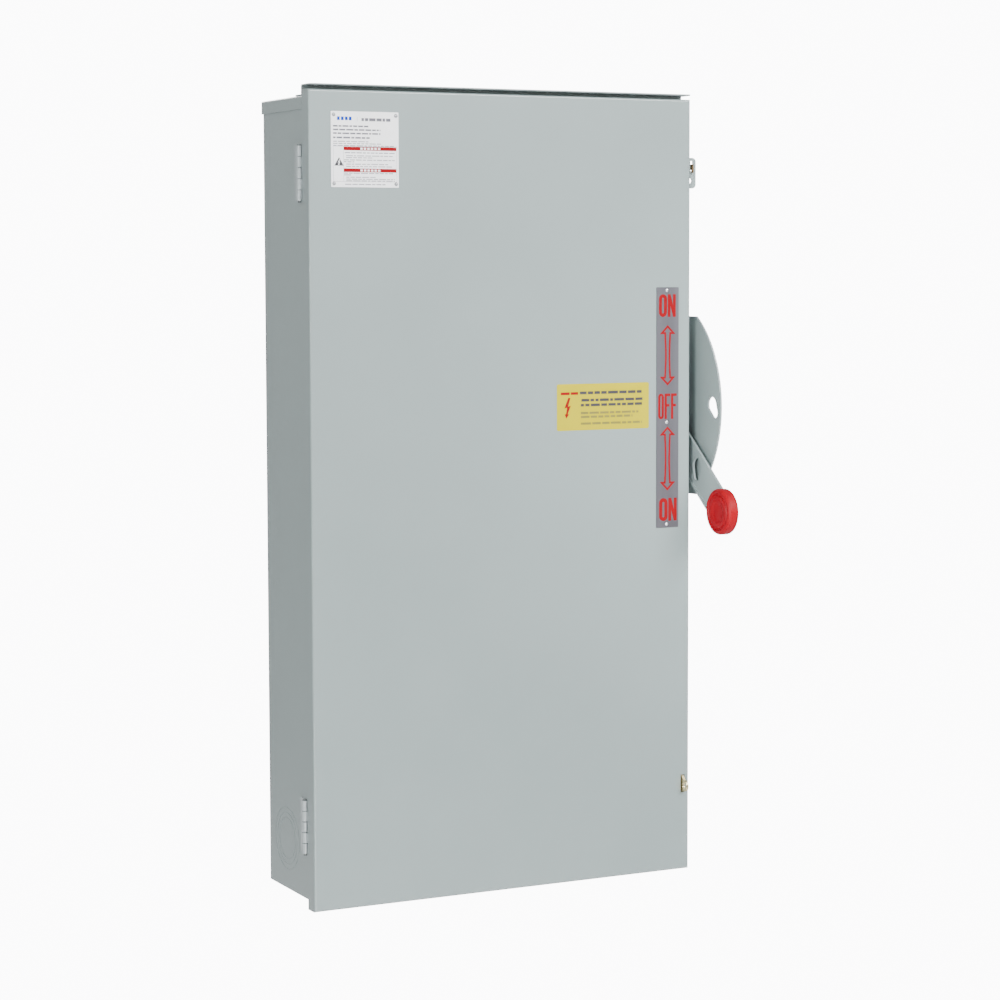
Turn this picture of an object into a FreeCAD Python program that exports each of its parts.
import FreeCAD, Part

import math
import os
import re
import Sketcher

# Double-throw AC disconnect box: a sheet-metal wall case with a hinged, padlockable door, a red-knobbed
# side handle and, inside, a three-pole knife switch that the handle throws up or down through a link.
# Millimetres. The origin is the centre of the wall bolt pattern on the back plane: +X right, -Y out of
# the wall towards the reader, +Z up. Everything that turns with the handle is drawn pointing straight
# out (the OFF position) and then turned down by rest_angle to the lower ON position.

SIZES = {
    # case
    "case_width": 498.6, "case_height": 933.0, "case_depth": 146.0, "case_sheet": 1.5, "case_bend": 2.5,
    "return_width": 14.0, "cap_lip": 15.2, "lip_clearance": 2.0, "bolt_inset_x": 49.3,
    "bolt_inset_z": 36.5, "bolt_hole": 9.0, "flange_height": 14.0, "drain_hole": 6.0,
    "knockout_small": 50.0, "knockout_mid": 62.0, "knockout_large": 75.0, "knockout_drop": 60.7,
    "knockout_out": 58.0, "knockout_spread": 120.0, "groove_width": 0.8, "groove_depth": 0.4,
    # drip hood over the door
    "hood_gap": 4.5, "hood_reach": 4.0, "hood_base": 18.0, "hood_corner": 5.0, "hood_hem": 1.3,
    # door
    "door_sheet": 1.5, "door_gap": 0.7, "door_flange": 19.4, "door_over": 6.7, "door_under": 10.3,
    "door_rest": 3.0,
    # hinges
    "knuckle_radius": 3.3, "knuckle_pitch": 12.7, "knuckle_gap": 0.9, "hinge_pin": 3.6,
    "running_fit": 0.05, "hinge_out": 1.5, "hinge_behind": 4.6, "leaf_sheet": 1.5, "leaf_width": 14.0,
    "leaf_start": 4.0, "hinge_top_drop": 88.3, "hinge_low_rise": 86.7, "pin_head": 2.6,
    # padlock hasp
    "hasp_thick": 3.0, "hasp_reach": 12.4, "hasp_base": 20.0, "hasp_tip": 7.0, "hasp_hole": 7.6,
    "hasp_hole_out": 6.4, "hasp_from_edge": 6.6, "hasp_rise": 97.3, "hasp_clear": 1.25,
    # plates on the door
    "plate_sheet": 0.8, "label_sheet": 0.3, "rivet": 4.4, "rivet_head": 1.2,
    "name_width": 84.5, "name_height": 86.3, "name_left": 27.5, "name_top": 24.7,
    "label_width": 126.5, "label_height": 56.0, "label_right": 58.0, "label_top": 343.0,
    "strip_width": 31.0, "strip_height": 294.3, "strip_right": 16.5,
    # door ear and spring catch
    "ear_reach": 13.0, "ear_height": 37.4, "ear_top": 70.0, "ear_back": 9.0, "ear_sheet": 2.0,
    "ear_round": 5.0, "window_left": 5.2, "window_width": 3.6, "window_height": 12.0,
    "window_top": 4.0, "ear_hole": 7.0, "ear_hole_in": 4.0, "ear_hole_rise": 9.4,
    "catch_sheet": 1.5, "catch_height": 7.0, "catch_length": 43.0, "catch_hook": 3.5,
    "catch_pin": 4.0, "catch_hub": 10.0, "catch_gap": 0.6,
    # handle and its guard
    "pivot_rise": 98.2, "pivot_out": 45.0, "rest_angle": 38.2, "shaft": 16.0, "arm_width": 45.0,
    "arm_sheet": 2.3, "arm_flange": 2.2, "inner_bend": 0.7, "arm_length": 187.0, "arm_gap": 12.7,
    "knob_reach": 202.0, "tongue_width": 24.0, "knob": 56.0, "knob_thick": 15.0, "knob_round": 3.0,
    "knob_groove_in": 4.5, "knob_groove": 1.5, "knob_ring": 26.0, "knob_recess": 24.0, "knob_relief": 1.6,
    "knob_start": 6.7, "guard_gap": 26.2, "guard_sheet": 2.3, "guard_radius": 134.0,
    "guard_half": 110.7, "guard_back": 16.7, "guard_foot": 3.0, "lock_big": 9.5, "lock_small": 6.5,
    "lock_reach": 114.0, "lock_rise": 3.0, "lock_slide": 6.4, "lock_drop": 9.8, "arm_lock_out": 8.0,
    "guard_corner": 6.0,
    "bushing": 24.0, "bushing_flange": 32.0, "bushing_head": 2.5, "ring_outer": 24.0,
    # switch mechanism
    "crank_reach": 30.0, "crank_width": 26.0, "crank_sheet": 5.0, "crank_pin": 8.0, "link_width": 18.0,
    "link_sheet": 4.0, "link_gap": 2.0, "link_play": 0.3, "crossbar": 30.0, "crossbar_beyond": 50.0,
    "block_sheet": 8.0, "block_gap": 1.0, "block_half": 18.0, "block_over": 18.0,
    # three poles
    "pole_pitch": 90.0, "blade_sheet": 3.0, "blade_width": 16.0, "blade_tip": 80.0, "blade_tail": 14.0,
    "tongue_sheet": 6.0, "tongue_play": 0.1, "strap_width": 28.0, "strap_sheet": 5.0,
    "base_beyond": 40.0, "base_near": 62.0, "base_far": 190.0, "base_front": 70.0, "strap_near": 66.0,
    "strap_far": 185.0, "tongue_near": 42.0, "tongue_top": 78.0, "tongue_front": 118.0,
    "load_base_sheet": 3.5, "load_half": 45.0, "bus_sheet": 3.0, "bus_play": 1.0, "load_tongue": 12.0,
    "load_tongue_front": 28.5, "load_lug_top": 215.0, "load_lug_low": 300.0,
    "lug_width": 26.0, "lug_length": 40.0, "lug_depth": 28.0, "lug_bore": 14.0, "lug_near": 135.0,
    "lug_screw": 12.0, "lug_screw_reach": 5.0, "barrier_sheet": 2.5, "barrier_seat": 12.0,
    "barrier_front": 122.0,
    # mounting pan, bracket, spring and ground bar
    "pan_beside": 8.0, "pan_beyond": 30.0, "pan_sheet": 2.0, "pan_out": 11.5, "pan_screw_in": 25.0,
    "standoff": 14.0, "screw": 6.0, "screw_head": 11.0, "screw_head_reach": 4.0,
    "bracket_gap": 3.0, "bracket_sheet": 3.0, "bracket_half": 20.0,
    "bracket_foot": 20.0, "spring_gap": 5.0, "spring_end_gap": 18.3, "spring_outer": 28.0,
    "spring_inner": 22.0, "ground_length": 90.0, "ground_tall": 14.0, "ground_deep": 10.0,
    "ground_screw": 7.0,
}

doc = FreeCAD.newDocument("disconnect_box")
sheet = doc.addObject("Spreadsheet::Sheet", "dims")
for row, (word, size) in enumerate(SIZES.items(), start=1):
    sheet.set(f"A{row}", word)
    sheet.set(f"B{row}", str(size))
    sheet.setAlias(f"B{row}", word)
doc.recompute()

# Places that several pieces share, each written once in terms of the sheet's sizes.
PLACES = {
    "side": "(case_width / 2)",
    "top": "(case_height / 2)",
    "front": "(-case_depth)",
    "wall_front": "(-(case_depth - door_sheet - door_rest))",
    "return_back": "(-(case_depth - door_sheet - door_rest - case_sheet))",
    "cap_side": "(case_width / 2 + case_sheet)",
    "door_side": "(case_width / 2 + door_gap + door_sheet)",
    "door_top": "(case_height / 2 + door_over)",
    "door_bottom": "(-case_height / 2 - door_under)",
    "flange_back": "(-case_depth + door_flange)",
    "hinge_x": "(-(case_width / 2 + door_gap + door_sheet + hinge_out))",
    "hinge_y": "(-case_depth + door_flange + hinge_behind)",
    "hood_z": "(case_height / 2 + door_over + hood_gap)",
    "hood_back": "(-case_depth + door_flange + lip_clearance)",
    "pan_front": "(-(pan_out + pan_sheet))",
    "base_half": "(pole_pitch + base_beyond)",
    "crossbar_half": "(pole_pitch + crossbar_beyond)",
    "block_x": "(crossbar_half + block_gap)",
    "crank_x": "(crossbar_half + block_gap + block_sheet + link_gap)",
    "link_x": "(crossbar_half + block_gap + block_sheet + crank_sheet + 2 * link_gap)",
    "drive_x": "(crossbar_half + block_gap + block_sheet + crank_sheet + link_sheet + 3 * link_gap)",
    "bracket_x": "(crossbar_half + block_gap + block_sheet + 2 * crank_sheet + link_sheet"
                 " + 3 * link_gap + bracket_gap)",
    "pan_half_width": "(bracket_x + bracket_foot + pan_beside)",
    "pan_half_height": "(load_lug_low + pan_beyond)",
    "pan_screw_x": "(pan_half_width - pan_screw_in)",
    "pan_screw_z": "(pan_half_height - pan_screw_in)",
    "ground_z": "((flange_height - case_height / 2 - load_lug_low - pan_beyond) / 2)",
    "guard_x": "(case_width / 2 + guard_gap)",
    "knob_x": "(case_width / 2 + knob_start)",
    "arm_x": "(case_width / 2 + arm_gap)",
    "ear_x": "(case_width / 2 + door_gap + door_sheet)",
    "ear_z": "(case_height / 2 + door_over - ear_top)",
    "catch_z": "(case_height / 2 + door_over - ear_top - window_top - window_height / 2 - 1.5)",
    "catch_pivot": "(-case_depth + ear_back + catch_length - catch_gap)",
    "strip_top": "(case_height / 2 + door_over - pivot_rise - strip_height / 2)",
    "hasp_x": "(case_width / 2 - hasp_from_edge)",
    "hasp_z": "(-case_height / 2 + hasp_rise)",
    "upper_hinge_z": "(case_height / 2 - hinge_top_drop)",
    "lower_hinge_z": "(-case_height / 2 + hinge_low_rise)",
    "bus_back": "(-(pan_out + pan_sheet + load_base_sheet))",
    "bus_front": "(-(pan_out + pan_sheet + load_base_sheet + bus_sheet))",
}


def words(text):
    """An expression whose shared places are written out and whose sizes point at the sheet."""
    text = str(text)
    for _ in range(4):
        text = re.sub(r"[a-z_]+", lambda found: PLACES.get(found.group(), found.group()), text)
    return re.sub(r"[a-z_]+", lambda found: "dims." + found.group() if found.group() in SIZES
                  else found.group(), text)


def value(text):
    """The number that an expression has now, for what an expression can't be bound to."""
    return float(sheet.evalExpression(words(text).replace("dims.", "")))


def bind(item, **places):
    """Binds properties to expressions; a double underscore in a keyword stands for a dot."""
    for place, text in places.items():
        item.setExpression(place.replace("__", "."), words(text))
    return item


def block(name, x, y, z):
    """A box between two expressions on each axis."""
    item = doc.addObject("Part::Box", name)
    for size, place, (low, high) in (("Length", "x", x), ("Width", "y", y), ("Height", "z", z)):
        item.setExpression(size, words(f"({high}) - ({low})"))
        item.setExpression("Placement.Base." + place, words(low))
    return item


TURN = {"x": FreeCAD.Rotation(FreeCAD.Vector(0, 1, 0), 90),
        "y": FreeCAD.Rotation(FreeCAD.Vector(1, 0, 0), -90),
        "z": FreeCAD.Rotation()}


def rod(name, along, radius, start, end, across):
    """A cylinder along one axis, from start to end, at the two other coordinates given in X, Y, Z order."""
    item = doc.addObject("Part::Cylinder", name)
    item.Placement = FreeCAD.Placement(FreeCAD.Vector(), TURN[along])
    places = list(across)
    places.insert("xyz".index(along), start)
    item.setExpression("Radius", words(radius))
    item.setExpression("Height", words(f"({end}) - ({start})"))
    for axis, text in zip("xyz", places):
        item.setExpression("Placement.Base." + axis, words(text))
    return item


def fuse(name, pieces):
    item = doc.addObject("Part::MultiFuse", name)
    item.Shapes = list(pieces)
    item.Refine = True
    return item


def group(name, pieces):
    """Several separate solids in one piece."""
    item = doc.addObject("Part::Compound", name)
    item.Links = list(pieces)
    return item


def cut(name, base, tools):
    item = doc.addObject("Part::Cut", name)
    item.Base = base
    tools = list(tools)
    item.Tool = tools[0] if len(tools) == 1 else fuse(name + "_tool", tools)
    return item


def rounded(name, base, radius, wanted):
    """Rounds the straight edges of base that the test wanted(middle, direction) picks."""
    doc.recompute()
    item = doc.addObject("Part::Fillet", name)
    item.Base = base
    picked = []
    for number, edge in enumerate(base.Shape.Edges, start=1):
        if len(edge.Vertexes) < 2:
            continue
        direction = edge.tangentAt(edge.FirstParameter)
        if wanted(edge.CenterOfMass, direction):
            picked.append((number, value(radius), value(radius)))
    item.Edges = picked
    return item


def turned(item, x, y, z):
    """Sets a piece drawn about the X axis at its pivot, turned down to the resting position."""
    item.Placement = FreeCAD.Placement(FreeCAD.Vector(), FreeCAD.Rotation(FreeCAD.Vector(1, 0, 0), 10))
    return bind(item, Placement__Rotation__Angle="rest_angle", Placement__Base__x=x,
                Placement__Base__y=y, Placement__Base__z=z)


class Body:
    """A PartDesign body whose sketches are polygons and circles bound to the sheet."""

    def __init__(self, name):
        self.body = doc.addObject("PartDesign::Body", name)
        self.count = 0

    def sketch(self, plane, height="0"):
        self.count += 1
        item = self.body.newObject("Sketcher::SketchObject", f"{self.body.Name}_sketch_{self.count}")
        role = {"xy": "XY_Plane", "xz": "XZ_Plane", "yz": "YZ_Plane"}[plane]
        item.AttachmentSupport = [(next(face for face in self.body.Origin.OriginFeatures
                                        if face.Role == role), "")]
        item.MapMode = "FlatFace"
        item.setExpression("AttachmentOffset.Base.z", words(height))
        return item

    def pin(self, item, shape, point, place):
        """Holds one point of a sketch at a pair of expressions from the sketch's origin."""
        for kind, text in zip(("DistanceX", "DistanceY"), place):
            at = item.addConstraint(Sketcher.Constraint(kind, -1, 1, shape, point, value(text)))
            item.setExpression(f"Constraints[{at}]", words(text))

    def circle(self, item, u, v, radius):
        shape = item.addGeometry(Part.Circle(FreeCAD.Vector(value(u), value(v), 0),
                                             FreeCAD.Vector(0, 0, 1), value(radius)))
        self.pin(item, shape, 3, (u, v))
        at = item.addConstraint(Sketcher.Constraint("Radius", shape, value(radius)))
        item.setExpression(f"Constraints[{at}]", words(radius))

    def polygon(self, item, corners):
        spots = [FreeCAD.Vector(value(u), value(v), 0) for u, v in corners]
        shapes = [item.addGeometry(Part.LineSegment(spot, spots[(number + 1) % len(spots)]))
                  for number, spot in enumerate(spots)]
        for number, shape in enumerate(shapes):
            following = shapes[(number + 1) % len(shapes)]
            item.addConstraint(Sketcher.Constraint("Coincident", shape, 2, following, 1))
            self.pin(item, shape, 1, corners[number])

    def rectangle(self, item, u, v):
        self.polygon(item, [(u[0], v[0]), (u[1], v[0]), (u[1], v[1]), (u[0], v[1])])

    def grow(self, kind, profile, length, back=False):
        """Pads or pockets a sketch by a length, along its normal or against it."""
        self.count += 1
        item = self.body.newObject("PartDesign::" + kind, f"{self.body.Name}_{kind.lower()}_{self.count}")
        item.Profile = profile
        item.Reversed = back
        item.setExpression("Length", words(length))
        self.body.Tip = item
        return item

    def round(self, base, radius, wanted):
        """Rounds the straight edges of the last feature that the test wanted(middle, direction) picks."""
        doc.recompute()
        self.count += 1
        item = self.body.newObject("PartDesign::Fillet", f"{self.body.Name}_corners_{self.count}")
        item.Base = (base, [f"Edge{number}" for number, edge in enumerate(base.Shape.Edges, start=1)
                            if wanted(edge.CenterOfMass, edge.tangentAt(edge.FirstParameter))])
        item.setExpression("Radius", words(radius))
        self.body.Tip = item
        return item

    def spin(self, kind, profile, axis):
        item = self.body.newObject("PartDesign::" + kind, f"{self.body.Name}_{kind.lower()}")
        item.Profile = profile
        item.ReferenceAxis = (next(line for line in self.body.Origin.OriginFeatures
                                   if line.Role == axis), [""])
        item.Angle = 360
        self.body.Tip = item
        return item


NODES = []


def node(name, item):
    """Marks a finished piece as one that is written to a file of its own."""
    item.Label = name
    NODES.append((name, item))
    return item


# ---- Case ---------------------------------------------------------------------------------------

def upright(middle, direction):
    return abs(direction.z) > 0.99


def knockout_rings(name, along, out, across):
    """Three shallow ring grooves that mark the concentric knock-outs, cut into an outer face."""
    rings = []
    for size in ("knockout_small", "knockout_mid", "knockout_large"):
        outer = rod(f"{name}_{size}_outer", along, f"{size} / 2", *out, across)
        inner = rod(f"{name}_{size}_inner", along, f"{size} / 2 - groove_width", *out, across)
        rings.append(cut(f"{name}_{size}", outer, [inner]))
    return rings


def wrapper():
    """Back and both sides bent from one sheet, with narrow returns at the front."""
    outer = rounded("wrapper_outer", block("wrapper_block", ("-side", "side"), ("wall_front", "0"),
                    ("-top", "top - case_sheet")), "case_bend", upright)
    inner = rounded("wrapper_inner", block("wrapper_hollow", ("-side + case_sheet", "side - case_sheet"),
                    ("return_back", "-case_sheet"), ("-top - 1", "top + 1")),
                    "case_bend - case_sheet", upright)
    opening = block("wrapper_opening", ("-side + return_width", "side - return_width"),
                    ("wall_front - 1", "return_back + 1"), ("-top - 1", "top + 1"))
    holes = [rod(f"bolt_hole_{right}_{up}", "y", "bolt_hole / 2", "-case_sheet - 1", "1",
                 (f"{right} * (side - bolt_inset_x)", f"{up} * (top - bolt_inset_z)"))
             for right in (-1, 1) for up in (-1, 1)]
    holes.append(rod("shaft_opening", "x", "bushing / 2", "side - case_sheet - 1", "side + 1",
                     ("-pivot_out", "pivot_rise")))
    holes += [rod(f"guard_screw_opening_{number}", "x", "screw / 2", "side - case_sheet - 1", "side + 1",
                  ("-(guard_foot + guard_back) / 2", f"pivot_rise + {number} * guard_half * 0.8"))
              for number in (-1, 0, 1)]
    at = ("-knockout_out", "-top + knockout_drop")
    holes += knockout_rings("left_knockout", "x", ("-side - 1", "-side + groove_depth"), at)
    holes += knockout_rings("right_knockout", "x", ("side - groove_depth", "side + 1"), at)
    node("enclosure_wrapper", cut("enclosure_wrapper", outer, [inner, opening] + holes))


def top_cap():
    """Cover plate with lips down both sides and a return behind the door."""
    plate = block("cap_plate", ("-cap_side", "cap_side"), ("hood_back", "0"), ("top - case_sheet", "top"))
    tongue = block("cap_tongue", ("-side", "side"), ("wall_front", "hood_back"),
                   ("top - case_sheet", "top"))
    lips = [block("cap_lip_left", ("-cap_side", "-side"), ("hood_back", "0"), ("top - cap_lip", "top")),
            block("cap_lip_right", ("side", "cap_side"), ("hood_back", "0"), ("top - cap_lip", "top"))]
    front = block("cap_front", ("-side + return_width", "side - return_width"),
                  ("wall_front", "return_back"), ("top - cap_lip", "top"))
    blank = fuse("cap_blank", [plate, tongue, front] + lips)
    top = value("top")
    node("top_cap", rounded("top_cap", blank, "case_bend - case_sheet / 2",
                            lambda middle, direction: abs(direction.y) > 0.99 and middle.z > top - 0.01
                            and abs(middle.x) > value("cap_side") - 0.01))


def bottom_end():
    """Floor of the case, set between the walls, with knock-outs and drain holes."""
    plate = block("floor_plate", ("-side + case_sheet", "side - case_sheet"), ("return_back", "-case_sheet"),
                  ("-top", "-top + case_sheet"))
    tongue = block("floor_tongue", ("-side + return_width", "side - return_width"),
                   ("wall_front", "return_back"), ("-top", "-top + case_sheet"))
    front = block("floor_front", ("-side + return_width", "side - return_width"),
                  ("wall_front", "return_back"), ("-top", "-top + flange_height"))
    back = block("floor_back", ("-side + 2 * case_bend", "side - 2 * case_bend"),
                 ("-2 * case_sheet", "-case_sheet"), ("-top", "-top + flange_height"))
    holes = [rod(f"drain_{right}", "z", "drain_hole / 2", "-top - 1", "-top + case_sheet + 1",
                 (f"{right} * (side - 4 * return_width)", "return_back + return_width"))
             for right in (-1, 1)]
    for right in (-1, 0, 1):
        holes += knockout_rings(f"floor_knockout_{right + 1}", "z", ("-top - 1", "-top + groove_depth"),
                                (f"{right} * knockout_spread", "-knockout_out"))
    node("bottom_end", cut("bottom_end", fuse("floor_blank", [plate, tongue, front, back]), holes))


def drip_hood():
    """Bent strip on the cap: a riser behind the door's top edge and a thin lip out over it."""
    hood = Body("hood_strip")
    side = hood.sketch("yz")
    hood.polygon(side, [
        ("hood_back", "top"), ("hood_back + hood_base", "top"),
        ("hood_back + hood_base", "top + case_sheet"), ("hood_back + case_sheet", "top + case_sheet"),
        ("hood_back + case_sheet", "hood_z + case_sheet"), ("front - hood_reach", "hood_z + case_sheet"),
        ("front - hood_reach + hood_hem", "hood_z"), ("hood_back", "hood_z")])
    pad = hood.grow("Pad", side, "2 * cap_side")
    bend = FreeCAD.Vector(0, value("hood_back + case_sheet"), value("hood_z + case_sheet"))
    hood.round(pad, "case_bend", lambda middle, direction: abs(direction.x) > 0.99
               and abs(middle.y - bend.y) < 0.01 and abs(middle.z - bend.z) < 0.01)
    bind(hood.body, Placement__Base__x="-cap_side")
    blank = block("hood_plan_blank", ("-cap_side", "cap_side"),
                  ("front - hood_reach", "hood_back + hood_base"), ("top", "hood_z + case_sheet"))
    item = doc.addObject("Part::Common", "drip_hood")
    item.Base = hood.body
    item.Tool = rounded("hood_plan", blank, "hood_corner", lambda middle, direction:
                        abs(direction.z) > 0.99 and middle.y < value("front - hood_reach") + 0.01)
    node("drip_hood", item)


# ---- Door ---------------------------------------------------------------------------------------

def front_edge(middle, direction):
    return middle.y < value("front") + 0.01


def pan_front_edge(middle, direction):
    return middle.y < value("front + door_sheet") + 0.01


def door_panel():
    """Pan-shaped door whose flanges reach back over the walls, with a slot for the hasp."""
    outer = rounded("door_outer", block("door_block", ("-door_side", "door_side"), ("front", "flange_back"),
                    ("door_bottom", "door_top")), "case_bend", front_edge)
    inner = rounded("door_inner", block("door_hollow", ("-door_side + door_sheet", "door_side - door_sheet"),
                    ("front + door_sheet", "flange_back + 1"),
                    ("door_bottom + door_sheet", "door_top - door_sheet")),
                    "case_bend - door_sheet", pan_front_edge)
    half = "(hasp_thick / 2 + hasp_clear)"
    slot = block("hasp_slot", (f"hasp_x - {half}", f"hasp_x + {half}"),
                 ("front - 1", "front + door_sheet + 1"),
                 ("hasp_z - hasp_base / 2 - hasp_clear", "hasp_z + hasp_base / 2 + hasp_clear"))
    node("door_panel", cut("door_panel", outer, [inner, slot]))


def hinge(name, centre):
    """A five-knuckle hinge: outer and middle knuckles on the case, the other two on the door, one pin."""
    length = "(knuckle_pitch - knuckle_gap)"
    barrels = {"case": [], "door": []}
    for number in range(5):
        middle = f"({centre} + {number - 2} * knuckle_pitch)"
        span = (f"{middle} - {length} / 2", f"{middle} + {length} / 2")
        owner = "door" if number % 2 else "case"
        barrels[owner].append(rod(f"{name}_knuckle_{number}", "z", "knuckle_radius", *span,
                                  ("hinge_x", "hinge_y")))
        if owner == "case":
            barrels[owner].append(block(f"{name}_root_{number}", ("-side - leaf_sheet", "-side"),
                                        ("hinge_y + knuckle_radius / 2", "hinge_y + leaf_start"), span))
        else:
            barrels[owner].append(block(f"{name}_tail_{number}", ("-door_side", "-door_side + door_sheet"),
                                        ("flange_back", "hinge_y - knuckle_radius / 2"), span))
    leaf = block(f"{name}_leaf", ("-side - leaf_sheet", "-side"),
                 ("hinge_y + leaf_start", "hinge_y + leaf_start + leaf_width"),
                 (f"{centre} - 2.5 * knuckle_pitch", f"{centre} + 2.5 * knuckle_pitch"))
    barrels["case"].append(leaf)
    for owner, title in (("case", "box_leaf"), ("door", "door_leaf")):
        bore = rod(f"{name}_{owner}_bore", "z", "hinge_pin / 2 + running_fit",
                   f"{centre} - 3 * knuckle_pitch", f"{centre} + 3 * knuckle_pitch", ("hinge_x", "hinge_y"))
        node(f"{name}_hinge_{title}", cut(f"{name}_hinge_{title}",
                                          fuse(f"{name}_{owner}_leaf", barrels[owner]), [bore]))
    pin = Body(f"{name}_hinge_pin")
    shank = pin.sketch("xy")
    pin.circle(shank, "0", "0", "hinge_pin / 2")
    pin.grow("Pad", shank, "5 * knuckle_pitch + 2")
    head = pin.sketch("xy")
    pin.circle(head, "0", "0", "pin_head")
    pin.grow("Pad", head, "1", back=True)
    pin.body.Placement = FreeCAD.Placement(FreeCAD.Vector(), FreeCAD.Rotation(FreeCAD.Vector(1, 0, 0), 180))
    bind(pin.body, Placement__Base__x="hinge_x", Placement__Base__y="hinge_y",
         Placement__Base__z=f"{centre} + 2.5 * knuckle_pitch")
    node(f"{name}_hinge_pin", pin.body)


def padlock_hasp():
    """Tab that stands on the case's right return and comes out through the door for a padlock."""
    out = "(front - hasp_reach + hasp_tip)"
    tab = [rod("hasp_round", "x", "hasp_tip", "hasp_x - hasp_thick / 2", "hasp_x + hasp_thick / 2",
               (out, "hasp_z - 2")),
           block("hasp_root", ("hasp_x - hasp_thick / 2", "hasp_x + hasp_thick / 2"),
                 ("front", "wall_front"), ("hasp_z - hasp_base / 2", "hasp_z + hasp_base / 2"))]
    flare = Body("hasp_flare")
    side = flare.sketch("yz")
    flare.polygon(side, [("front", "hasp_z - hasp_base / 2"), ("front", "hasp_z + hasp_base / 2"),
                         (out, "hasp_z - 2 + hasp_tip * 0.98"), (out, "hasp_z - 2 - hasp_tip * 0.98")])
    flare.grow("Pad", side, "hasp_thick")
    bind(flare.body, Placement__Base__x="hasp_x - hasp_thick / 2")
    foot = block("hasp_foot", ("side - return_width + 1", "side - 1"),
                 ("wall_front - case_sheet", "wall_front"),
                 ("hasp_z - hasp_base * 0.8", "hasp_z + hasp_base * 0.8"))
    hole = rod("hasp_hole_cut", "x", "hasp_hole / 2", "hasp_x - hasp_thick", "hasp_x + hasp_thick",
               ("front - hasp_hole_out", "hasp_z - 2"))
    node("padlock_hasp", cut("padlock_hasp", fuse("hasp_blank", tab + [flare.body, foot]), [hole]))


def door_plate(name, left, top, width, height, thick, corner):
    """A flat plate on the door's face, placed from the door's top left corner."""
    flat = Body(name)
    outline = flat.sketch("xz", "-front")
    flat.rectangle(outline, (f"-door_side + {left}", f"-door_side + {left} + {width}"),
                   (f"door_top - {top} - {height}", f"door_top - {top}"))
    pad = flat.grow("Pad", outline, thick)
    flat.round(pad, corner, lambda middle, direction: abs(direction.y) > 0.99)
    node(name, flat.body)


def rivets(name, spots, thick):
    """Domed rivet heads at places measured from the door's top left corner."""
    heads = []
    for number, (right, down) in enumerate(spots):
        ball = doc.addObject("Part::Cone", f"{name}_{number}")
        ball.Placement = FreeCAD.Placement(FreeCAD.Vector(), FreeCAD.Rotation(FreeCAD.Vector(1, 0, 0), 90))
        bind(ball, Radius1="rivet / 2", Radius2="rivet / 3.4", Height="rivet_head",
             Placement__Base__x=f"-door_side + {right}", Placement__Base__y=f"front - {thick}",
             Placement__Base__z=f"door_top - ({down})")
        heads.append(ball)
    node(name, group(name, heads))


def door_ear():
    """Welded ear beyond the door's right edge, with the catch's window and a sealing hole."""
    ear = Body("door_ear")
    outline = ear.sketch("xz", "-front - ear_back - ear_sheet")
    ear.rectangle(outline, ("ear_x", "ear_x + ear_reach"), ("ear_z - ear_height", "ear_z"))
    pad = ear.grow("Pad", outline, "ear_sheet")
    ear.round(pad, "ear_round",
              lambda middle, direction: abs(direction.y) > 0.99 and middle.x > value("ear_x + 1"))
    window = ear.sketch("xz", "-front - ear_back - ear_sheet")
    ear.rectangle(window, ("ear_x + window_left", "ear_x + window_left + window_width"),
                  ("ear_z - window_top - window_height", "ear_z - window_top"))
    ear.circle(window, "ear_x + ear_hole_in", "ear_z - ear_height + ear_hole_rise", "ear_hole / 2")
    ear.grow("Pocket", window, "ear_sheet", back=True)
    node("door_ear", ear.body)


def spring_catch():
    """Sprung hook that holds the door's ear, on a bracket screwed to the right wall."""
    low = "(ear_x + window_left + (window_width - catch_sheet) / 2)"
    span = (low, f"{low} + catch_sheet")
    hook_back = "(front + ear_back - catch_gap)"
    strip = block("catch_strip", span, (f"{hook_back} - 3", "catch_pivot"),
                  ("catch_z - catch_height / 2", "catch_z + catch_height / 2"))
    hook = block("catch_hook_end", span, (f"{hook_back} - 3", hook_back),
                 ("catch_z - catch_height / 2 - catch_hook", "catch_z"))
    hub = rod("catch_hub_round", "x", "catch_hub / 2", f"{low} - 1.5", f"{low} + catch_sheet + 1.5",
              ("catch_pivot", "catch_z"))
    bore = rod("catch_bore", "x", "catch_pin / 2 + running_fit", f"{low} - 3", f"{low} + 5",
               ("catch_pivot", "catch_z"))
    node("spring_catch", cut("spring_catch", fuse("catch_blank", [strip, hook, hub]), [bore]))
    foot = block("bracket_wall_plate", ("side", "side + 2"), ("catch_pivot - 9", "catch_pivot + 16"),
                 ("catch_z - 12", "catch_z + 12"))
    boss = rod("bracket_boss", "x", "catch_hub / 2", "side", f"{low} - 1.8", ("catch_pivot", "catch_z"))
    stud = rod("bracket_stud", "x", "catch_pin / 2", "side", f"{low} + catch_sheet + 4",
               ("catch_pivot", "catch_z"))
    head = rod("bracket_head", "x", "catch_pin / 2 + 1.4", f"{low} + catch_sheet + 1.8",
               f"{low} + catch_sheet + 4", ("catch_pivot", "catch_z"))
    node("catch_bracket", fuse("catch_bracket", [foot, boss, stud, head]))


# ---- Handle and guard ---------------------------------------------------------------------------

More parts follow.
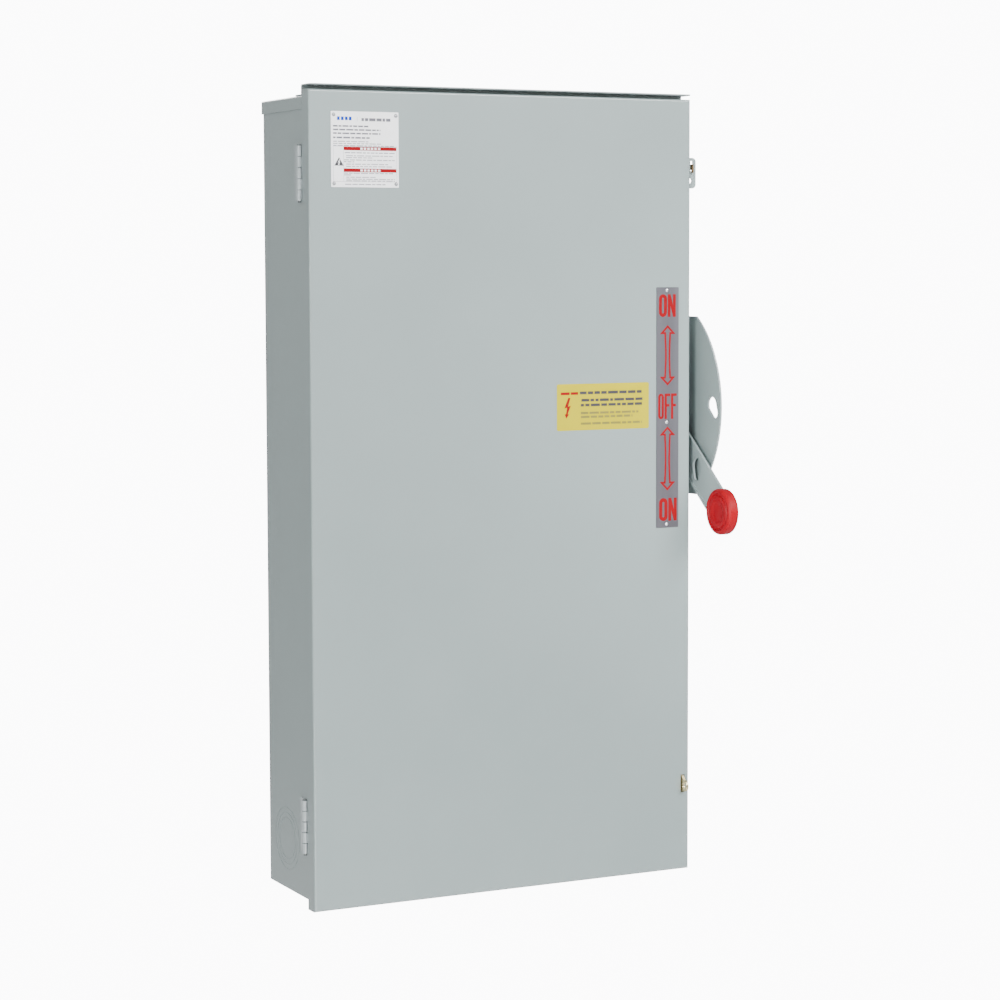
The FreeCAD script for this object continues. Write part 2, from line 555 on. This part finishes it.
def lock_slot(name, start, end, pivot_y, pivot_z):
    """Padlock slot beside a pivot: the outline around a large and a small circle, cut along X."""
    big, small = value("lock_big"), value("lock_small")
    centre = FreeCAD.Vector(0, value(f"{pivot_y} - lock_reach"), value(f"{pivot_z} + lock_rise"))
    step = FreeCAD.Vector(0, -value("lock_slide"), -value("lock_drop"))
    along = FreeCAD.Vector(step).normalize()
    across = FreeCAD.Vector(0, -along.z, along.y)
    lean = math.asin((big - small) / step.Length)

    def touch(middle, radius, side):
        return middle + (along * math.sin(lean) + across * (side * math.cos(lean))) * radius

    ends = [touch(centre, big, 1), touch(centre, big, -1), touch(centre + step, small, -1),
            touch(centre + step, small, 1)]
    outline = Part.Wire([Part.Arc(ends[0], centre - along * big, ends[1]).toShape(),
                         Part.LineSegment(ends[1], ends[2]).toShape(),
                         Part.Arc(ends[2], centre + step + along * small, ends[3]).toShape(),
                         Part.LineSegment(ends[3], ends[0]).toShape()])
    item = doc.addObject("Part::Feature", name)
    item.Shape = Part.Face(outline).extrude(FreeCAD.Vector(value(end) - value(start), 0, 0))
    item.Placement = FreeCAD.Placement(FreeCAD.Vector(value(start), 0, 0), FreeCAD.Rotation())
    return item


def handle_guard():
    """Bent guard on the right wall: foot, web and a fin whose front edge is an arc about the pivot."""
    disc = rod("guard_disc", "x", "guard_radius", "guard_x", "guard_x + guard_sheet",
               ("-pivot_out", "pivot_rise"))
    band = block("guard_band", ("guard_x - 1", "guard_x + guard_sheet + 1"),
                 ("-pivot_out - guard_radius - 1", "-guard_back"),
                 ("pivot_rise - guard_half", "pivot_rise + guard_half"))
    fin = doc.addObject("Part::Common", "guard_fin")
    fin.Base, fin.Tool = disc, band

    def tip(middle, direction):
        return abs(direction.x) > 0.99 and middle.y < value("-pivot_out")

    fin = rounded("guard_fin_round", fin, "guard_corner", tip)
    web = block("guard_web", ("side", "guard_x + guard_sheet"), ("-guard_back - guard_sheet", "-guard_back"),
                ("pivot_rise - guard_half", "pivot_rise + guard_half"))
    foot = block("guard_foot_flange", ("side", "side + guard_sheet"), ("-guard_back", "-guard_foot"),
                 ("pivot_rise - guard_half", "pivot_rise + guard_half"))
    holes = [rod(f"guard_hole_{number}", "x", "screw / 2", "side - 1", "side + guard_sheet + 1",
                 ("-(guard_foot + guard_back) / 2", f"pivot_rise + {number} * guard_half * 0.8"))
             for number in (-1, 0, 1)]
    holes.append(rod("guard_shaft_hole", "x", "shaft / 2 + running_fit", "guard_x - 1",
                     "guard_x + guard_sheet + 1", ("-pivot_out", "pivot_rise")))
    holes.append(lock_slot("guard_lock_slot", "guard_x - 1", "guard_x + guard_sheet + 1",
                           "-pivot_out", "pivot_rise"))

    def bend(x, y):
        return lambda middle, direction: (abs(direction.z) > 0.99 and abs(middle.x - value(x)) < 0.01
                                          and abs(middle.y - value(y)) < 0.01)

    blank = fuse("guard_blank", [fin, web, foot])
    for name, x, y in (("fin", "guard_x + guard_sheet", "-guard_back"),
                       ("foot", "side", "-guard_back - guard_sheet")):
        blank = rounded(f"guard_{name}_bend", blank, "guard_sheet + inner_bend", bend(x, y))
    for name, x, y in (("fin", "guard_x", "-guard_back - guard_sheet"),
                       ("foot", "side + guard_sheet", "-guard_back")):
        blank = rounded(f"guard_{name}_crease", blank, "inner_bend", bend(x, y))
    node("handle_guard", cut("handle_guard", blank, holes))
    screws = []
    for number in (-1, 0, 1):
        across = ("-(guard_foot + guard_back) / 2", f"pivot_rise + {number} * guard_half * 0.8")
        screws.append(fuse(f"guard_screw_{number + 1}", [
            rod(f"guard_shank_{number + 1}", "x", "screw / 2", "side - 4 * case_sheet",
                "side + guard_sheet", across),
            rod(f"guard_head_{number + 1}", "x", "screw_head / 2", "side + guard_sheet",
                "side + guard_sheet + screw_head_reach", across)]))
    node("guard_screws", group("guard_screws", screws))


def shaft_bushing():
    """Flanged bushing that carries the shaft where it leaves the case."""
    body = rod("bushing_tube", "x", "bushing / 2", "side - 4 * case_sheet", "side + bushing_head",
               ("-pivot_out", "pivot_rise"))
    flange = rod("bushing_flange_disc", "x", "bushing_flange / 2", "side", "side + bushing_head",
                 ("-pivot_out", "pivot_rise"))
    bore = rod("bushing_bore", "x", "shaft / 2 + running_fit", "side - 5 * case_sheet",
               "side + bushing_head + 1", ("-pivot_out", "pivot_rise"))
    node("shaft_bushing", cut("shaft_bushing", fuse("bushing_blank", [body, flange]), [bore]))


def handle_arm():
    """Channel-section arm drawn pointing out along -Y: web, side flanges, hub end and knob tongue."""
    arm = Body("arm_channel")
    hub = arm.sketch("yz")
    arm.circle(hub, "0", "0", "arm_width / 2")
    arm.grow("Pad", hub, "arm_sheet + arm_flange")
    channel = arm.sketch("yz")
    arm.rectangle(channel, ("-arm_length", "0"), ("-arm_width / 2", "arm_width / 2"))
    arm.grow("Pad", channel, "arm_sheet + arm_flange")
    hollow = arm.sketch("yz")
    arm.rectangle(hollow, ("-arm_length - 1", "-arm_width / 2"),
                  ("-arm_width / 2 + arm_sheet", "arm_width / 2 - arm_sheet"))
    arm.grow("Pocket", hollow, "arm_flange", back=True)
    tongue = arm.sketch("yz", "arm_flange")
    arm.rectangle(tongue, ("-knob_reach", "-arm_length + 1"), ("-tongue_width / 2", "tongue_width / 2"))
    pad = arm.grow("Pad", tongue, "arm_sheet")
    top, inside = value("arm_sheet + arm_flange"), value("arm_flange")

    def outer_bend(middle, direction):
        return abs(direction.y) > 0.99 and abs(middle.x - top) < 0.01 and (
            abs(abs(middle.z) - value("arm_width / 2")) < 0.01)

    def inner_bend(middle, direction):
        return abs(direction.y) > 0.99 and abs(middle.x - inside) < 0.01 and (
            abs(abs(middle.z) - value("arm_width / 2 - arm_sheet")) < 0.01)

    pad = arm.round(pad, "arm_sheet + inner_bend", outer_bend)
    arm.round(pad, "inner_bend", inner_bend)
    holes = arm.sketch("yz")
    arm.circle(holes, "0", "0", "shaft / 2")
    arm.grow("Pocket", holes, "arm_sheet + arm_flange", back=True)
    slot = lock_slot("arm_lock_slot", "-1", "arm_sheet + arm_flange + 1", "-arm_lock_out", "0")
    node("handle_arm", turned(cut("handle_arm_slotted", arm.body, [slot]),
                              "arm_x", "-pivot_out", "pivot_rise"))


def handle_knob():
    """Red round knob: a turned disc with a ring groove and a dished middle on its visible face."""
    knob = Body("knob_disc")
    half = knob.sketch("xy")
    groove = "knob / 2 - knob_groove_in"
    knob.polygon(half, [
        ("0", "knob_relief"), ("knob_recess / 2", "knob_relief"), ("knob_ring / 2", "0"),
        (f"{groove} - knob_groove", "0"), (f"{groove} - knob_groove", "knob_relief"),
        (groove, "knob_relief"), (groove, "0"),
        ("knob / 2 - knob_round", "0"), ("knob / 2", "knob_round"),
        ("knob / 2", "knob_thick - knob_round"), ("knob / 2 - knob_round", "knob_thick"),
        ("0", "knob_thick")])
    knob.spin("Revolution", half, "Y_Axis")
    turn = FreeCAD.Rotation(FreeCAD.Vector(0, 0, 1), -90)
    knob.body.Placement = FreeCAD.Placement(FreeCAD.Vector(), turn)
    bind(knob.body, Placement__Base__x="knob_x - arm_x", Placement__Base__y="-knob_reach")
    rooms = [block("knob_tongue_slot", ("arm_flange", "arm_flange + arm_sheet"),
                   ("-knob_reach", "-knob_reach + knob"), ("-tongue_width / 2", "tongue_width / 2")),
             block("knob_channel_slot", ("0", "arm_flange + arm_sheet"),
                   ("-arm_length", "-knob_reach + knob"), ("-arm_width / 2", "arm_width / 2"))]
    node("handle_knob", turned(cut("handle_knob_slotted", knob.body, rooms),
                               "arm_x", "-pivot_out", "pivot_rise"))


def shaft_and_crank():
    """Operating shaft from the switch out through the guard, its crank and its retaining ring."""
    shaft = Body("operating_shaft")
    end = shaft.sketch("yz")
    shaft.circle(end, "0", "0", "shaft / 2")
    shaft.grow("Pad", end, "guard_x + guard_sheet + 4 - drive_x")
    node("operating_shaft", turned(shaft.body, "drive_x", "-pivot_out", "pivot_rise"))
    ring = cut("shaft_ring", rod("ring_disc", "x", "ring_outer / 2", "0", "1.5", ("0", "0")),
               [rod("ring_bore", "x", "shaft / 2", "-1", "3", ("0", "0"))])
    node("shaft_retaining_ring", turned(ring, "guard_x + guard_sheet + 0.5", "-pivot_out", "pivot_rise"))
    crank("drive_crank", "drive_x", "pivot_rise", -1)


def crank(name, start, rise, side):
    """A flat crank about the X axis whose pin stands out on the link's side."""
    arm = Body(name)
    outline = arm.sketch("yz")
    arm.rectangle(outline, ("-crank_reach", "0"), ("-crank_width / 2", "crank_width / 2"))
    arm.grow("Pad", outline, "crank_sheet")
    for spot in ("0", "-crank_reach"):
        ends = arm.sketch("yz")
        arm.circle(ends, spot, "0", "crank_width / 2")
        arm.grow("Pad", ends, "crank_sheet")
    if side < 0:
        pin = arm.sketch("yz")
        arm.circle(pin, "-crank_reach", "0", "crank_pin / 2")
        arm.grow("Pad", pin, "link_sheet + 2 * link_gap - 1", back=True)
    else:
        pin = arm.sketch("yz", "crank_sheet")
        arm.circle(pin, "-crank_reach", "0", "crank_pin / 2")
        arm.grow("Pad", pin, "link_sheet + 2 * link_gap - 1")
    hole = arm.sketch("yz")
    arm.circle(hole, "0", "0", "shaft / 2")
    arm.grow("Pocket", hole, "crank_sheet", back=True)
    node(name, turned(arm.body, start, "-pivot_out", rise))


def drive_link():
    """Upright link between the two crank pins; it stays upright while both cranks turn."""
    link = Body("drive_link")
    outline = link.sketch("yz")
    link.rectangle(outline, ("-link_width / 2", "link_width / 2"), ("-pivot_rise", "0"))
    link.grow("Pad", outline, "link_sheet")
    for spot in ("0", "-pivot_rise"):
        ends = link.sketch("yz")
        link.circle(ends, "0", spot, "link_width / 2")
        link.grow("Pad", ends, "link_sheet")
    holes = link.sketch("yz")
    link.circle(holes, "0", "0", "crank_pin / 2 + running_fit")
    link.circle(holes, "0", "-pivot_rise", "crank_pin / 2 + link_play")
    link.grow("Pocket", holes, "link_sheet", back=True)
    bind(link.body, Placement__Base__x="link_x",
         Placement__Base__y="-pivot_out - crank_reach * cos(rest_angle)",
         Placement__Base__z="pivot_rise - crank_reach * sin(rest_angle)")
    node("drive_link", link.body)


# ---- Switch -------------------------------------------------------------------------------------

POLES = (-1, 0, 1)


def crossbar():
    """Insulating crossbar with stub shafts, the three pairs of blades and the crank it is driven by."""
    bar = fuse("crossbar_blank", [
        rod("crossbar_round", "x", "crossbar / 2", "-crossbar_half", "crossbar_half", ("0", "0")),
        rod("crossbar_stubs", "x", "shaft / 2", "-block_x - block_sheet - 1", "crank_x + crank_sheet",
            ("0", "0"))])
    slots = [block(f"crossbar_slot_{pole + 1}_{side + 1}",
                   (f"{pole} * pole_pitch + {side} * (tongue_sheet / 2 + tongue_play + blade_sheet / 2)"
                    f" - blade_sheet / 2",
                    f"{pole} * pole_pitch + {side} * (tongue_sheet / 2 + tongue_play + blade_sheet / 2)"
                    f" + blade_sheet / 2"),
                   ("-crossbar", "crossbar"), ("-blade_width / 2", "blade_width / 2"))
             for pole in POLES for side in (-1, 1)]
    gaps = [block(f"crossbar_gap_{pole + 1}",
                  (f"{pole} * pole_pitch - tongue_sheet / 2 - tongue_play",
                   f"{pole} * pole_pitch + tongue_sheet / 2 + tongue_play"),
                  ("blade_tail - 8", "crossbar"), ("-crossbar", "crossbar"))
            for pole in POLES]
    node("crossbar", turned(cut("crossbar_slotted", bar, slots + gaps), "0", "-pivot_out", "0"))
    blades = []
    for pole in POLES:
        for side in (-1, 1):
            middle = f"({pole} * pole_pitch + {side} * (tongue_sheet / 2 + tongue_play + blade_sheet / 2))"
            span = (f"{middle} - blade_sheet / 2", f"{middle} + blade_sheet / 2")
            blades.append(fuse(f"blade_{pole + 1}_{side + 1}", [
                block(f"blade_flat_{pole + 1}_{side + 1}", span,
                      ("-blade_tip + blade_width / 2", "blade_tail"),
                      ("-blade_width / 2", "blade_width / 2")),
                rod(f"blade_round_{pole + 1}_{side + 1}", "x", "blade_width / 2", *span,
                    ("-blade_tip + blade_width / 2", "0")),
                rod(f"blade_heel_{pole + 1}_{side + 1}", "x", "blade_width / 2", *span,
                    ("blade_tail", "0"))]))
    node("twin_blades", turned(group("twin_blades", blades), "0", "-pivot_out", "0"))
    crank("crossbar_crank", "crank_x", "0", 1)


def bearing_block(name, start):
    """Moulded block on the pan with a bore for one end of the crossbar."""
    bearer = block(name + "_blank", (start, f"{start} + block_sheet"),
                   ("-pivot_out - block_over", "pan_front"), ("-block_half", "block_half"))
    bore = rod(name + "_bore", "x", "shaft / 2 + running_fit", f"{start} - 1",
               f"{start} + block_sheet + 1", ("-pivot_out", "0"))
    node(name, cut(name, bearer, [bore]))


def line_side(name, up):
    """One throw of the switch: insulating base, straps with contact tongues, lugs and barriers."""
    def span(near, far):
        return (near, far) if up > 0 else (f"-({far})", f"-({near})")

    def board(edge):
        middle = f"{edge} * pole_pitch / 2"
        return (f"{middle} - barrier_sheet / 2", f"{middle} + barrier_sheet / 2")

    blank = block(f"{name}_base_blank", ("-base_half", "base_half"), ("-base_front", "pan_front"),
                  span("base_near", "base_far"))
    channels = [block(f"{name}_base_channel_{pole + 1}",
                      (f"{pole} * pole_pitch - strap_width / 2 - bus_play",
                       f"{pole} * pole_pitch + strap_width / 2 + bus_play"),
                      ("bus_front - bus_play", "pan_front + 1"), span("base_near - 1", "base_far + 1"))
                for pole in POLES]
    grooves = [block(f"{name}_base_groove_{edge}", board(edge),
                     ("-base_front - 1", "-base_front + barrier_seat"), span("base_near - 1", "base_far + 1"))
               for edge in (-1, 1)]
    node(f"{name}_base", cut(f"{name}_base", blank, channels + grooves))
    straps, lugs = [], []
    for pole in POLES:
        centre = f"{pole} * pole_pitch"
        sides = (f"{centre} - strap_width / 2", f"{centre} + strap_width / 2")
        edge = (f"{centre} - tongue_sheet / 2", f"{centre} + tongue_sheet / 2")
        straps.append(fuse(f"{name}_strap_{pole + 1}", [
            block(f"{name}_strap_flat_{pole + 1}", sides, ("-base_front - strap_sheet", "-base_front"),
                  span("strap_near", "strap_far")),
            block(f"{name}_tongue_{pole + 1}", edge,
                  ("-tongue_front", "-base_front - strap_sheet / 2"), span("tongue_near", "tongue_top"))]))
        lugs.append(lug(f"{name}_lug_{pole + 1}", centre, span("lug_near", "lug_near + lug_length"),
                        "(-base_front - strap_sheet)"))
    node(f"{name}_line_straps", group(f"{name}_line_straps", straps))
    node(f"{name}_line_lugs", group(f"{name}_line_lugs", lugs))
    node(f"{name}_phase_barriers", group(f"{name}_phase_barriers", [
        block(f"{name}_barrier_{edge}", board(edge), ("-barrier_front", "-base_front + barrier_seat"),
              span("base_near", "base_far"))
        for edge in (-1, 1)]))


SCREWS = []


def lug(name, centre, along, seat):
    """A wire lug seated at Y = seat: a block bored along Z, with its set screw listed for later."""
    outer = block(name + "_blank", (f"{centre} - lug_width / 2", f"{centre} + lug_width / 2"),
                  (f"{seat} - lug_depth", seat), along)
    bore = rod(name + "_bore", "z", "lug_bore / 2", f"{along[0]} - 1", f"{along[1]} + 1",
               (centre, f"{seat} - lug_depth / 2 + 2"))
    middle = f"(({along[0]}) + ({along[1]})) / 2"
    SCREWS.append(rod(name + "_screw", "y", "lug_screw / 2", f"{seat} - lug_depth - lug_screw_reach",
                      f"{seat} - lug_depth", (centre, middle)))
    return cut(name, outer, [bore])


def load_side():
    """Load contacts behind the crossbar, the bars that run down behind the lower base, and load lugs."""
    node("load_base", block("load_base", ("-base_half", "base_half"), ("bus_back", "pan_front"),
                            ("-load_half", "load_half")))
    node("load_lug_base", block("load_lug_base", ("-base_half", "base_half"), ("bus_back", "pan_front"),
                                ("-load_lug_low", "-load_lug_top")))
    bars, lugs = [], []
    for pole in POLES:
        centre = f"{pole} * pole_pitch"
        edge = (f"{centre} - tongue_sheet / 2", f"{centre} + tongue_sheet / 2")
        bars.append(fuse(f"load_bar_{pole + 1}", [
            block(f"load_flat_{pole + 1}", (f"{centre} - strap_width / 2", f"{centre} + strap_width / 2"),
                  ("bus_front", "bus_back"), ("-load_lug_low + 8", "load_tongue")),
            block(f"load_contact_{pole + 1}", edge,
                  ("-load_tongue_front", "bus_back"), ("-load_tongue", "load_tongue"))]))
        lugs.append(lug(f"load_lug_{pole + 1}", centre,
                        ("-load_lug_low + 12", "-load_lug_low + 12 + lug_length"), "bus_front"))
    node("load_bus_bars", group("load_bus_bars", bars))
    node("load_lugs", group("load_lugs", lugs))


# ---- Pan and the rest ---------------------------------------------------------------------------

def mounting_pan():
    """Steel pan that carries the switch, on four standoffs from the back."""
    pan = Body("mounting_pan")
    outline = pan.sketch("xz", "pan_out")
    pan.rectangle(outline, ("-pan_half_width", "pan_half_width"), ("-pan_half_height", "pan_half_height"))
    for right in (-1, 1):
        for up in (-1, 1):
            pan.circle(outline, f"{right} * pan_screw_x", f"{up} * pan_screw_z", "screw / 2")
    pan.grow("Pad", outline, "pan_sheet")
    node("mounting_pan", pan.body)
    spots = [(f"{right} * pan_screw_x", f"{up} * pan_screw_z") for right in (-1, 1) for up in (-1, 1)]
    node("pan_standoffs", group("pan_standoffs", [
        cut(f"standoff_{number}", rod(f"standoff_round_{number}", "y", "standoff / 2", "-pan_out",
                                      "-case_sheet", spot),
            [rod(f"standoff_bore_{number}", "y", "screw / 2", "-pan_out - 1", "-case_sheet - 2", spot)])
        for number, spot in enumerate(spots)]))
    node("pan_screws", group("pan_screws", [
        fuse(f"pan_screw_{number}", [
            rod(f"pan_shank_{number}", "y", "screw / 2", "pan_front", "-case_sheet - 3", spot),
            rod(f"pan_head_{number}", "y", "screw_head / 2", "pan_front - screw_head_reach", "pan_front",
                spot)])
        for number, spot in enumerate(spots)]))


def mechanism():
    """Bracket that carries the shaft's inner end and the coil spring that snaps it over."""
    plate = block("bracket_plate", ("bracket_x", "bracket_x + bracket_sheet"),
                  ("-pivot_out - block_over", "pan_front"),
                  ("pivot_rise - bracket_half", "pivot_rise + bracket_half"))
    foot = block("bracket_foot_plate", ("bracket_x", "bracket_x + bracket_foot"),
                 ("pan_front - bracket_sheet", "pan_front"),
                 ("pivot_rise - bracket_half", "pivot_rise + bracket_half"))
    bore = rod("bracket_bore", "x", "shaft / 2 + running_fit", "bracket_x - 1",
               "bracket_x + bracket_sheet + 1", ("-pivot_out", "pivot_rise"))
    node("mechanism_bracket", cut("mechanism_bracket", fuse("bracket_blank", [plate, foot]), [bore]))
    start, end = "bracket_x + bracket_sheet + spring_gap", "side - 4 * case_sheet - spring_end_gap"
    node("toggle_spring", cut("toggle_spring",
         rod("spring_round", "x", "spring_outer / 2", start, end, ("-pivot_out", "pivot_rise")),
         [rod("spring_hollow", "x", "spring_inner / 2", f"{start} - 1", f"{end} + 1",
              ("-pivot_out", "pivot_rise"))]))


def ground_bar():
    """Bar of ground terminals on the back, below the pan."""
    node("ground_bar", block("ground_bar", ("-ground_length / 2", "ground_length / 2"),
                             ("-case_sheet - ground_deep", "-case_sheet"),
                             ("ground_z - ground_tall / 2", "ground_z + ground_tall / 2")))
    node("ground_bar_screws", group("ground_bar_screws", [
        rod(f"ground_screw_{number}", "y", "ground_screw / 2", "-case_sheet - ground_deep - 3",
            "-case_sheet - ground_deep", (f"({number} - 2.5) * ground_length / 6.5", "ground_z"))
        for number in range(6)]))


wrapper()
top_cap()
bottom_end()
drip_hood()
door_panel()
hinge("upper", "upper_hinge_z")
hinge("lower", "lower_hinge_z")
padlock_hasp()
door_plate("name_plate", "name_left", "name_top", "name_width", "name_height", "plate_sheet", 0.6)
door_plate("hazard_label", "(2 * door_side - label_right - label_width)", "label_top", "label_width",
           "label_height", "label_sheet", 2)
door_plate("position_plate", "(2 * door_side - strip_right - strip_width)", "strip_top", "strip_width",
           "strip_height", "plate_sheet", 0.8)
rivets("name_plate_rivets", [(f"name_left + {right}", f"name_top + {down}")
                             for right in ("3.4", "name_width - 3.4")
                             for down in ("4", "name_height - 4")], "plate_sheet")
rivets("position_plate_rivets", [("2 * door_side - strip_right - strip_width / 2 - 1", f"strip_top + {down}")
                                 for down in ("3.8", "strip_height * 0.56", "strip_height - 4.3")],
       "plate_sheet")
door_ear()
spring_catch()
handle_guard()
shaft_bushing()
handle_arm()
handle_knob()
shaft_and_crank()
drive_link()
crossbar()
bearing_block("left_bearing_block", "(-block_x - block_sheet)")
bearing_block("right_bearing_block", "block_x")
line_side("upper", 1)
line_side("lower", -1)
load_side()
node("lug_screws", group("lug_screws", SCREWS))
mounting_pan()
mechanism()
ground_bar()
doc.recompute()

for item in doc.Objects:
    if "Invalid" in item.State or "Error" in item.State:
        raise RuntimeError(f"{item.Name} failed: {item.State}")
os.makedirs("parts", exist_ok=True)
for name, item in NODES:
    if item.Shape.isNull() or not item.Shape.isValid() or not item.Shape.Solids:
        raise RuntimeError(f"{name} has no valid solid")
    item.Shape.exportStep(f"parts/{name}.step")
    print(f"{name}: {len(item.Shape.Solids)} solids, {item.Shape.Volume / 1000:.2f} cm3")
